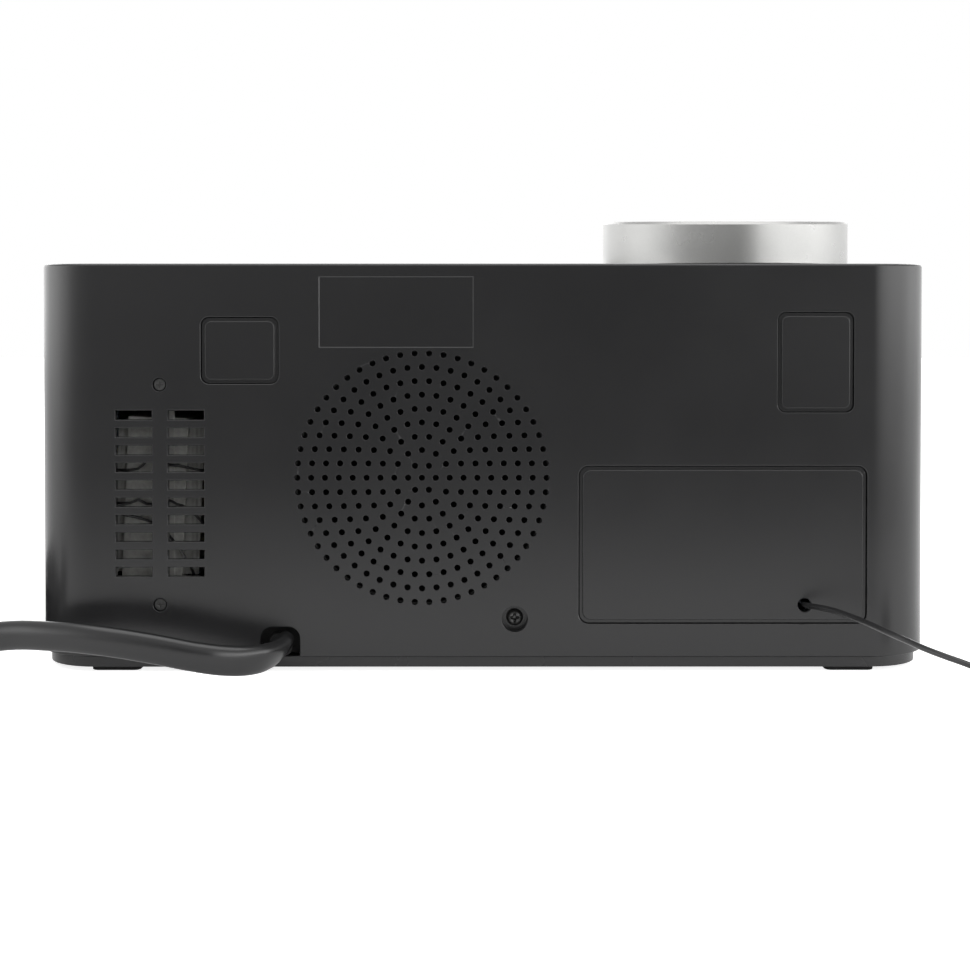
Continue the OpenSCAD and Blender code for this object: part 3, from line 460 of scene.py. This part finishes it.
# Each finish: the record's slot, and the parts that have it with the rounding of their edges in mm.
dressing = {
    "cabinetPlastic": ("cabinet_plastic", {
        "rear_cabinet": 0.24, "front_cabinet": 0.3, "top_panel": 0.3, "left_blanking_plate": 0.24,
        "right_blanking_plate": 0.24, "aerial_panel": 0.24}),
    "basePlastic": ("base_plastic", {"base_plate": 0.2, "battery_door": 0.2}),
    "blackPlastic": ("black_plastic", {
        "digit_module": 0.3, "turret_body": 0.25, "turret_retainer": 0.2, "projector_pod": 0.3,
        "lens_cell": 0.1, "board_chips": 0.1}),
    "keyPlastic": ("key_plastic", {
        "snooze_bar": 0.25, "alarm_1_key": 0.25, "alarm_2_key": 0.25, "sleep_key": 0.25,
        "projector_key": 0.25, "tune_down_key": 0.25, "tune_up_key": 0.25, "volume_down_key": 0.25,
        "volume_up_key": 0.25, "focus_ring": 0.12}),
    "softRubber": ("rubber", {"rubber_feet": 0.2, "strain_relief": 0.4, "cord_tie": 0.25}),
    "silverPaint": ("silver_plastic", {"turret_cover": 0.25}),
    "plainSteel": ("steel", {
        "board_screws": 0.08, "radio_can": 0.2, "speaker_clips": 0.1, "key_switches": 0.12,
        "battery_contacts": 0.08, "plug_blades": 0.25}),
    "dullSteel": ("steel", {"transformer_bracket": 0.2}),
    "blackSteel": ("steel", {"base_screws": 0.1, "transformer_screws": 0.08,
                             "speaker_frame": 0.15}),
    "corePlates": ("steel", {"transformer_core": 0.15}),
    "coilTape": ("coil_tape", {"transformer_coil": 0.4}),
    "magnet": ("magnet", {"speaker_magnet": 0.4}),
    "capacitorSleeve": ("capacitor_sleeve", {"board_capacitors": 0.3}),
    "cellWrap": ("cell_wrap", {"backup_cells": 0.3}),
    "smokedWindow": ("window_plastic", {"display_window": 0.2}),
    "digitGlow": ("digit_glow", {"lit_segments": 0.05}),
    "digitDark": ("digit_dark", {"unlit_segments": 0.05}),
    "board": ("board", {"display_board": 0.15, "main_board": 0.15, "key_board": 0.15}),
    "lampBody": ("lamp_body", {"pod_lamp": 0.1}),
    "film": ("film", {"time_film": 0.1}),
    "lensGlass": ("lens", {"projector_lens": 0}),
    "cordSheath": ("cord_sheath", {"transformer_leads": 0}),
}
mergeWithin = 0.001 * mm
rounding = {
    "flat": 0.5,  # degrees, below which neighbouring faces are one
    "sharp": 28,  # degrees, above which an edge is rounded
    "smooth": 60,  # degrees, below which the finished mesh is shaded smooth
    "crowns": {"rear_cabinet": 0.6, "front_cabinet": 0.6},  # mm, on the cabinet's outer top edge
    "crownWithin": 0.01,  # mm from the top
    "crownBeyond": 10,  # mm from the middle
    "passes": (1, 0.45),  # shares of the part's rounding: on edges with room, then on what is left
    "room": 1.6,  # how much face an edge with room has beside it, in roundings
    "holeEdges": 30,  # a small round hole's rim has more edges than this
    "holeEdge": 0.2,  # mm, and none as long as this
    "holeShare": 0.4,
}


def isSharp(edge, onEdge):
    return (edge.calc_face_angle(0) > math.radians(rounding["sharp"])
            and not any(face[onEdge] for face in edge.link_faces))


def narrowest(edge):
    # How far the narrower of the edge's two faces reaches away from it.
    along = (edge.verts[1].co - edge.verts[0].co).normalized()
    reaches = []
    for face in edge.link_faces:
        across = face.normal.cross(along)
        reaches.append(max(abs((vert.co - edge.verts[0].co).dot(across)) for vert in face.verts))
    return min(reaches)


def isCrown(edge, top):
    lowest = min(vert.co.z for vert in edge.verts)
    if not edge.is_convex or lowest < top - rounding["crownWithin"] * mm:
        return False
    here = edge.verts[0].co
    return any(face.normal.x * here.x + face.normal.y * here.y > rounding["crownBeyond"] * mm
               for face in edge.link_faces)


def numberOutlines(shape, onEdge, outline):
    # Sharp edges that touch are one outline, and outlines alike share a number. Each number is
    # rounded by itself, so that a fine outline doesn't hold back a coarse one.
    kinds, seen = {}, set()
    for edge in shape.edges:
        edge[outline] = 0
    for start in shape.edges:
        if start in seen or not isSharp(start, onEdge):
            continue
        seen.add(start)
        found, waiting = [], [start]
        while waiting:
            edge = waiting.pop()
            found.append(edge)
            for other in (near for vert in edge.verts for near in vert.link_edges):
                if other not in seen and isSharp(other, onEdge):
                    seen.add(other)
                    waiting.append(other)
        lengths = [edge.calc_length() / mm for edge in found]
        kind = len(found), round(min(lengths), 1), round(max(lengths), 1)
        number = kinds.setdefault(kind, len(kinds) + 1)
        for edge in found:
            edge[outline] = number
    return kinds


def bevelEdges(shape, onEdge, edges, width, isHole=False):
    # A hole's rim gets one flat, and isn't held back by the short edges beside it.
    made = bmesh.ops.bevel(shape, geom=edges, offset=width * mm, offset_type="OFFSET",
                           affect="EDGES", segments=1 if isHole else 2, profile=0.5, material=-1,
                           clamp_overlap=not isHole, loop_slide=not isHole)
    for face in made["faces"]:
        face[onEdge] = 1


def roundedCopy(node, width):
    # A copy of a part's mesh, merged to whole faces, with its sharp edges rounded.
    shape = bmesh.new()
    shape.from_mesh(nodes[node].data)
    onEdge = shape.faces.layers.float.new("edge")
    outline = shape.edges.layers.int.new("outline")
    bmesh.ops.remove_doubles(shape, verts=shape.verts, dist=mergeWithin)
    bmesh.ops.dissolve_limit(shape, angle_limit=math.radians(rounding["flat"]), verts=shape.verts,
                             edges=shape.edges)
    if node in rounding["crowns"]:
        top = max(vert.co.z for vert in shape.verts)
        crown = [edge for edge in shape.edges if isSharp(edge, onEdge) and isCrown(edge, top)]
        bevelEdges(shape, onEdge, crown, rounding["crowns"][node])
    for share in rounding["passes"]:
        for (count, _, longest), number in numberOutlines(shape, onEdge, outline).items():
            chosen = [edge for edge in shape.edges if edge[outline] == number]
            if count > rounding["holeEdges"] and longest < rounding["holeEdge"]:
                bevelEdges(shape, onEdge, chosen, rounding["holeShare"] * width, isHole=True)
                continue
            if share == 1:
                room = rounding["room"] * width * mm
                chosen = [edge for edge in chosen if edge.is_convex and narrowest(edge) > room]
            if chosen:
                bevelEdges(shape, onEdge, chosen, share * width)
    return shape


def dressParts():
    for finish, (slot, parts) in dressing.items():
        for node, width in parts.items():
            if width:
                body = nodes[node]["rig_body"]
                piece = finishMesh(node + "_shell", roundedCopy(node, width), body,
                                   materials[finish], rounding["smooth"])
                piece.modifiers.new("flats", "WEIGHTED_NORMAL").keep_sharp = True
                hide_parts(node)
            else:
                nodes[node].data.materials.clear()
                nodes[node].data.materials.append(materials[finish])


dressParts()
print("parts dressed")


# Cords: each route's points are the CAD's, in mm, and a coil's turns are radius and height.
mainsLead = {
    "width": 6.6, "thick": 3.8, "length": 1.5,
    "route": [
        (46.3, 38.7, 6.2), (46.4, 44, 6), (47.6, 49, 5.7), (51, 54, 5.7), (56, 57, 6.2),
        (62, 58.5, 7.2), (72, 59, 9.2), (83, 57.5, 10.6), (95, 53.5, 10.9), (107, 48, 10),
        (118, 44.2, 7.6), (128, 41.8, 5.2), (138, 40.4, 4.1), (146.5, 40, 3.9)],
    "coil": {"middle": (165, 1), "startAngle": 90, "way": -1, "steps": 20, "lastTurn": 0.8,
             "turns": [(39, 3.9), (35, 3.9), (31, 3.9), (31, 10.5), (35, 10.5), (39, 10.5)]},
    "tail": [
        (136, 31, 10.8), (141, 40, 11), (147, 49.5, 10.2), (154, 57.5, 8.6),
        (161.5, 62.5, 7.8), (168, 64, 7.6)],
    "lean": [-42, -41, -32, -18, -8, -4, -2],  # degrees, at the first points of the route
}
aerialLead = {
    "width": 1.3, "length": 0.76,
    "route": [
        (-73.5, 35, 15.5), (-73.5, 39, 15.6), (-73.9, 43, 15.9), (-75.4, 47, 16.2),
        (-77.6, 51, 16.2), (-80.8, 57, 15.7), (-83.7, 63, 15), (-86.3, 68, 14.2), (-89, 72.5, 13.4),
        (-91.6, 77, 12.6), (-94.4, 81, 11.9), (-98.6, 85.2, 10.8), (-103.5, 88, 9),
        (-108.5, 89.6, 6.4), (-113.5, 90.2, 3.8), (-118.5, 90.2, 1.8)],
    "coil": {"middle": (-127, 82), "startAngle": 62, "way": 1, "steps": 14, "lastTurn": 0.6,
             "turns": [(radius, height) for height, radii in (
                 (0.78, (9.75, 8.45, 7.15, 5.85)), (2.08, (5.85, 7.15, 8.45, 9.75)),
                 (3.38, (9.75, 8.45, 7.15, 5.85)), (4.68, (5.85, 7.15))) for radius in radii]},
    "tail": [],
    "lean": [],
}
bootLook = {"stout": [1.16, 1.12, 1.08, 1.05, 1.03, 1.012]}  # against the cord, point by point
cordShape = {
    "curveSteps": 5, "roundSteps": 3,
    "bulge": 0.66,  # how full a flat cord's sides are
    "crossing": 0.125,  # the last share of each turn, where it moves to the next one
}


def coilPoints(coil):
    # Each turn keeps its own radius and height until it moves to the next one's.
    points = []
    turns = coil["turns"]
    crossing = cordShape["crossing"]
    for turn, (radius, height) in enumerate(turns):
        last = turn == len(turns) - 1
        nextRadius, nextHeight = turns[turn] if last else turns[turn + 1]
        steps = round(coil["steps"] * (coil["lastTurn"] if last else 1))
        for step in range(steps):
            share = max(0, step / coil["steps"] - (1 - crossing)) / crossing
            ease = share * share * (3 - 2 * share)
            across = radius + (nextRadius - radius) * ease
            angle = (math.radians(coil["startAngle"])
                     + coil["way"] * 2 * math.pi * step / coil["steps"])
            points.append((coil["middle"][0] + across * math.cos(angle),
                           coil["middle"][1] + across * math.sin(angle),
                           height + (nextHeight - height) * ease))
    return points


def cordProfile(name, thick, width):
    # A closed rounded outline, thick across and width high, that the cord's line carries along.
    outline = bpy.data.curves.new(name, "CURVE")
    outline.dimensions = "2D"
    outline.resolution_u = cordShape["curveSteps"]
    corners = [(thick, 0, 0, width), (0, width, -thick, 0), (-thick, 0, 0, -width),
               (0, -width, thick, 0)]
    spline = outline.splines.new("BEZIER")
    spline.bezier_points.add(len(corners) - 1)
    spline.use_cyclic_u = True
    for point, (x, y, alongX, alongY) in zip(spline.bezier_points, corners):
        here = Vector((x / 2, y / 2, 0)) * mm
        reach = Vector((alongX / 2, alongY / 2, 0)) * cordShape["bulge"] * mm
        point.co = here
        point.handle_left = here - reach
        point.handle_right = here + reach
    profile = bpy.data.objects.new(name, outline)
    bpy.context.scene.collection.objects.link(profile)
    profile.hide_render = True
    profile.hide_viewport = True
    return profile


def newLine(name, count):
    curve = bpy.data.curves.new(name, "CURVE")
    curve.dimensions = "3D"
    curve.twist_mode = "Z_UP"
    curve.resolution_u = cordShape["curveSteps"]
    curve.use_fill_caps = True
    spline = curve.splines.new("BEZIER")
    spline.bezier_points.add(count - 1)
    return curve, spline.bezier_points


def addCordPiece(name, curve):
    piece = bpy.data.objects.new(name, curve)
    bpy.context.scene.collection.objects.link(piece)
    curve.materials.append(materials["cordSheath"])
    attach(piece, "cabinet")
    return piece


def addLead(name, lead, profile=None):
    # A flat cord has a profile, and a round one has its width.
    places = lead["route"] + coilPoints(lead["coil"]) + lead["tail"]
    curve, points = newLine(name, len(places))
    for point, place in zip(points, places):
        point.co = Vector(place) * mm
        point.handle_left_type = point.handle_right_type = "AUTO"
    for point, lean in zip(points, lead["lean"]):
        point.tilt = math.radians(lean)
    if profile:
        curve.bevel_mode = "OBJECT"
        curve.bevel_object = profile
    else:
        curve.bevel_depth = lead["width"] / 2 * mm
        curve.bevel_resolution = cordShape["roundSteps"]
    return addCordPiece(name, curve)


def addBoot(cord, profile):
    # The tapered sleeve that brings the cord out of the arch: the cord's own line, a little stouter.
    curve, points = newLine("cord_boot", len(bootLook["stout"]))
    for point, like, stout in zip(points, cord.data.splines[0].bezier_points, bootLook["stout"]):
        point.co = like.co
        point.handle_left_type = point.handle_right_type = "FREE"
        point.handle_left = like.handle_left
        point.handle_right = like.handle_right
        point.radius = stout
        point.tilt = like.tilt
    curve.bevel_mode = "OBJECT"
    curve.bevel_object = profile
    addCordPiece("cord_boot", curve)


# The moulded plug, from the cord's end to the blades. A station is how far along it is, and its
# half width and half height as shares of the plug's own.
plugLook = {
    "at": (168, 64, 7.6), "halfWidth": 12, "halfHeight": 5.6, "corners": 32, "squareness": 4,
    "smooth": 50,
    "stations": [
        (0, 0.34, 0.72), (1.5, 0.4, 0.78), (6, 0.46, 0.82), (9, 0.62, 0.9), (11.5, 0.86, 1),
        (13, 0.96, 1), (15, 0.9, 0.92), (17, 0.9, 0.92), (18.4, 0.98, 1), (20, 0.91, 0.92),
        (22, 0.91, 0.92), (23.4, 0.99, 1), (26, 1, 1), (31, 1, 1), (31.8, 0.96, 0.93)],
}


def addPlug(look):
    # A moulded flat plug: rings of an oval drawn along X, with grooves where the fingers grip.
    shape = bmesh.new()
    ring = bmesh.ops.create_circle(shape, cap_ends=False, radius=1, segments=look["corners"])["verts"]
    bmesh.ops.rotate(shape, verts=ring, cent=(0, 0, 0), matrix=Matrix.Rotation(math.pi / 2, 3, "Y"))
    power = look["squareness"]
    for vert in ring:
        vert.co /= (abs(vert.co.y) ** power + abs(vert.co.z) ** power) ** (1 / power)
    base = {vert: vert.co.copy() for vert in ring}
    rings = []
    for along, wide, high in look["stations"]:
        if rings:
            edges = [edge for edge in shape.edges if all(vert in rings[-1] for vert in edge.verts)]
            made = bmesh.ops.extrude_edge_only(shape, edges=edges)["geom"]
            ring = [item for item in made if isinstance(item, bmesh.types.BMVert)]
            for vert in ring:
                source = min(rings[-1], key=lambda other: (other.co - vert.co).length)
                base[vert] = base[source]
        for vert in ring:
            vert.co = Vector((along, base[vert].y * look["halfWidth"] * wide,
                              base[vert].z * look["halfHeight"] * high))
        rings.append(set(ring))
    bmesh.ops.holes_fill(shape, edges=[edge for edge in shape.edges if edge.is_boundary])
    bmesh.ops.recalc_face_normals(shape, faces=shape.faces)
    bmesh.ops.transform(shape, verts=shape.verts,
                        matrix=Matrix.Translation(Vector(look["at"]) * mm) @ Matrix.Scale(mm, 4))
    plug = finishMesh("plug_moulding", shape, "cabinet", materials["cordSheath"],
                      look["smooth"])
    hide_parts("plug_body")
    return plug


plug = addPlug(plugLook)
mainsSection = cordProfile("mains_section", mainsLead["thick"], mainsLead["width"])
mainsPiece = addLead("mains_lead", mainsLead, mainsSection)
bpy.context.view_layer.update()
addBoot(mainsPiece, mainsSection)
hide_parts("mains_cord", "mains_coil")
aerialPiece = addLead("aerial_lead", aerialLead)
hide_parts("aerial_wire", "aerial_coil")
print("cords laid")


def turnedShape(profile, steps):
    # The profile's radii and heights in mm, turned round Z.
    shape = bmesh.new()
    spine = [shape.verts.new((radius * mm, 0, height * mm)) for radius, height in profile]
    edges = [shape.edges.new(pair) for pair in zip(spine, spine[1:])]
    bmesh.ops.spin(shape, geom=spine + edges, cent=(0, 0, 0), axis=(0, 0, 1), angle=2 * math.pi,
                   steps=steps, use_merge=True)
    bmesh.ops.remove_doubles(shape, verts=shape.verts, dist=mergeWithin)
    bmesh.ops.recalc_face_normals(shape, faces=shape.faces)
    return shape


def faceRear(shape, place):
    # Turns a shape that was made upwards to face the rear, and moves it to its place in mm.
    turn = Matrix.Rotation(-math.pi / 2, 4, "X")
    bmesh.ops.transform(shape, verts=shape.verts,
                        matrix=Matrix.Translation(Vector(place) * mm) @ turn)


# The speaker's dust cap, cone and surround, from the middle outwards. Middle is its X and Z.
coneLook = {
    "middle": (13.9, 44.65), "steps": 96, "thick": 0.35, "smooth": 50,
    "profile": [(0, 31), (2.6, 30.8), (5, 30.1), (7.4, 28.6), (9, 27.1), (9.2, 27.4), (23.6, 34.9),
                (24.2, 35.3), (24.8, 36.3), (25.8, 37), (26.9, 37.1), (27.8, 36.7), (28.7, 36.9)],
}


def addCone(look):
    shape = turnedShape(look["profile"], look["steps"])
    bmesh.ops.solidify(shape, geom=shape.faces[:], thickness=look["thick"] * mm)
    across, height = look["middle"]
    faceRear(shape, (across, 0, height))
    cone = finishMesh("cone_and_surround", shape, "cabinet", materials["conePaper"],
                      look["smooth"])
    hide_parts("speaker_cone")


addCone(coneLook)
print("speaker made")


# The screw in the deep well, from the bottom of its socket over its head and down its shank
screwLook = {
    "at": (-7.3, 36.6, 12.3), "steps": 32, "smooth": 35,
    "cross": 0.3, "crossReach": (0.2, 0.9),  # how much the cross changes the socket, and where
    "profile": [(0, 0.25), (0.3, 0.3), (0.62, 0.95), (0.85, 1.32), (1.1, 1.42), (1.4, 1.3),
                (1.7, 0.95), (1.92, 0.45), (1.95, 0), (1.2, 0), (1.15, -11), (0.6, -12), (0, -12)],
}


def addScrew(look):
    # A domed head with a socket whose walls are drawn in between the four arms of a cross.
    shape = turnedShape(look["profile"], look["steps"])
    nearest, furthest = look["crossReach"]
    for vert in shape.verts:
        across = math.hypot(vert.co.x, vert.co.y)
        if nearest * mm < across < furthest * mm and vert.co.z > 0:
            arms = 1 + look["cross"] * math.cos(4 * math.atan2(vert.co.y, vert.co.x))
            vert.co.x *= arms
            vert.co.y *= arms
    faceRear(shape, look["at"])
    screw = finishMesh("domed_screw", shape, "cabinet", materials["blackSteel"],
                       look["smooth"])
    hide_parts("cabinet_screw")


addScrew(screwLook)
print("screw made")


# The room: pale paper that turns darker further behind the clock, walls of soft light, and two lamps
room = {
    "floorSize": 6.0,
    "floorRough": 0.9,
    "floorShine": 0.1,
    "paper": (0.75, 0.75, 0.75),
    "table": (0.1, 0.1, 0.1),
    "paperEnd": (0.16, 0.4),  # metres behind the clock, over which the pale floor turns darker
    "paperSide": (-0.05, 0.12),  # metres across, over which the paper's mirrored light fades
    "floorGlow": {"seenOnPaper": 0.85, "seenFarOff": 0.96, "mirrored": 0.32, "aside": 0.6},
    # Shares of the walls' strength, each from the room's -X side round to its +X side
    "towardsCamera": [(0, 0.8), (0.08, 0.92), (0.12, 0.95), (0.17, 0.9), (0.235, 0.78), (0.3, 0.56),
                      (0.345, 0.19), (0.39, 0.045), (0.45, 0.03), (0.5, 0.055), (0.57, 0.1),
                      (0.7, 0.14), (0.82, 0.2), (0.9, 0.33), (0.95, 0.56), (1, 0.72)],
    "beyond": [(0, 0.78), (0.03, 0.5), (0.1, 0.36), (0.2, 0.29), (0.5, 0.36), (0.8, 0.44),
               (0.96, 0.53), (1, 0.72)],
    "wallsMeet": (-0.12, 0.12),  # the share of a direction towards +Y over which the walls change
    "ceiling": (0.19, 0.19, 0.19),
    "ceilingFrom": (0.2, 0.5),  # the upward share of a direction where the ceiling starts and fills
    "strength": 4.7,
    "lamps": {
        "overhead": {"place": (0, 0.22, 1.05), "aim": (0, 0.05, 0), "size": (1.4, 0.9), "power": 7},
        "display": {"place": (0, -1.4, 0.7), "aim": (0, 0, 0.05), "size": (1.4, 0.8), "power": 5},
    },
}
white = (1, 1, 1, 1)


def addFloor():
    shape = bmesh.new()
    bmesh.ops.create_grid(shape, x_segments=1, y_segments=1, size=room["floorSize"] / 2)
    mesh = bpy.data.meshes.new("floor")
    shape.to_mesh(mesh)
    shape.free()
    floor = bpy.data.objects.new("floor", mesh)
    bpy.context.scene.collection.objects.link(floor)
    mesh.materials.append(floorMaterial())


def floorMaterial():
    # The camera sees the floor glow evenly, and glossy surfaces mirror a fainter glow.
    material, tree, shader = newMaterial("floorPaper")
    shader.inputs["Roughness"].default_value = room["floorRough"]
    shader.inputs["Specular IOR Level"].default_value = room["floorShine"]
    shader.inputs["Emission Color"].default_value = white
    glow = room["floorGlow"]
    spot = addNode(tree, "TexCoord").outputs["Object"]
    place = addNode(tree, "SeparateXYZ", {"Vector": spot}).outputs
    onPaper = spread(tree, place["Y"], 1, 0, *room["paperEnd"])
    path = addNode(tree, "LightPath").outputs
    mirrored = calculate(tree, "ADD", path["Is Glossy Ray"], path["Is Transmission Ray"], clamp=True)
    faint = calculate(tree, "MULTIPLY", spread(tree, onPaper, 0, glow["mirrored"], 0, 1),
                      spread(tree, place["X"], 1, glow["aside"], *room["paperSide"]))
    inMirror = calculate(tree, "MULTIPLY", mirrored, faint)
    seen = spread(tree, onPaper, glow["seenFarOff"], glow["seenOnPaper"], 0, 1)
    # The floor's colour and its mirrored glow are pale near the clock and darker further behind it.
    feed(tree, shader, {
        "Base Color": mixColours(tree, onPaper, room["table"], room["paper"]),
        "Emission Strength": calculate(tree, "MULTIPLY_ADD", path["Is Camera Ray"], seen, inMirror)})
    return material


def addWorld():
    # The camera sees plain white, and everything else sees the walls and the ceiling.
    world = bpy.data.worlds.new("room")
    bpy.context.scene.world = world
    world.use_nodes = True
    tree = world.node_tree
    tree.nodes.clear()
    path = addNode(tree, "LightPath").outputs
    direction = addNode(tree, "TexCoord").outputs["Generated"]
    axes = addNode(tree, "SeparateXYZ", {"Vector": direction}).outputs
    across = spread(tree, axes["X"], 0, 1, -1, 1)
    walls = mixColours(tree, spread(tree, axes["Y"], 0, 1, *room["wallsMeet"]),
                       rampFrom(tree, across, room["beyond"]),
                       rampFrom(tree, across, room["towardsCamera"]))
    levels = mixColours(tree, spread(tree, axes["Z"], 0, 1, *room["ceilingFrom"]), walls,
                        room["ceiling"])
    soft = addNode(tree, "Background", {"Color": levels, "Strength": room["strength"]})
    plain = addNode(tree, "Background", {"Color": white, "Strength": 1.0})
    choice = addNode(tree, "MixShader", {0: path["Is Camera Ray"], 1: soft.outputs[0],
                                         2: plain.outputs[0]})
    end = tree.nodes.new("ShaderNodeOutputWorld")
    tree.links.new(choice.outputs[0], end.inputs["Surface"])


def addLamp(name, look):
    lamp = bpy.data.objects.new(name, bpy.data.lights.new(name, "AREA"))
    bpy.context.scene.collection.objects.link(lamp)
    lamp.location = look["place"]
    away = Vector(look["aim"]) - Vector(look["place"])
    lamp.rotation_euler = away.to_track_quat("-Z", "Y").to_euler()
    lamp.data.shape = "RECTANGLE"
    lamp.data.size, lamp.data.size_y = look["size"]
    lamp.data.energy = look["power"]


addFloor()
addWorld()
for lampName, lampLook in room["lamps"].items():
    addLamp(lampName, lampLook)
bpy.context.scene.view_settings.view_transform = "Standard"
print("room lit")

print("done")
